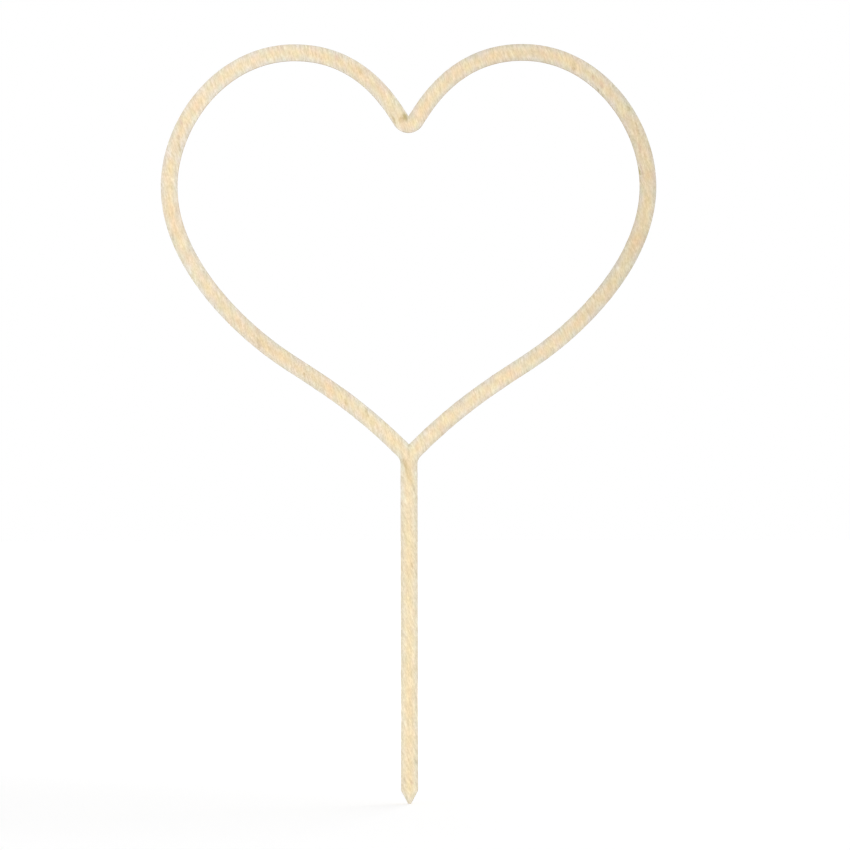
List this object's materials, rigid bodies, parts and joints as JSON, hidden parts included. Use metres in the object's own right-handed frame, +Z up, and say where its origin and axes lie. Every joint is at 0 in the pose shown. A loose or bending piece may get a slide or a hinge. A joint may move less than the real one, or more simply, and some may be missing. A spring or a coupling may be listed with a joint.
{
  "type": "cake topper",
  "caption": "Open heart of even band width on a straight pointed stake, cut from a sheet of plywood; the stake is pushed into the top of a cake.",
  "frame": {"origin": "the tip of the stake, halfway through the thickness of the sheet", "axes": "+X across the heart to the right as seen from the front, -Y out of the front face, +Z up the stake from its tip to the lobes of the heart"},
  "size_m": [0.15, 0.003, 0.23],
  "materials": {
    "face_veneer": "matte",
    "core_veneer": "matte",
    "glue_line": "matte"
  },
  "bodies": {
    "root": {"front_veneer": "face_veneer", "front_glue_line": "glue_line", "core_veneer": "core_veneer", "rear_glue_line": "glue_line", "rear_veneer": "face_veneer"}
  },
  "joints": []
}
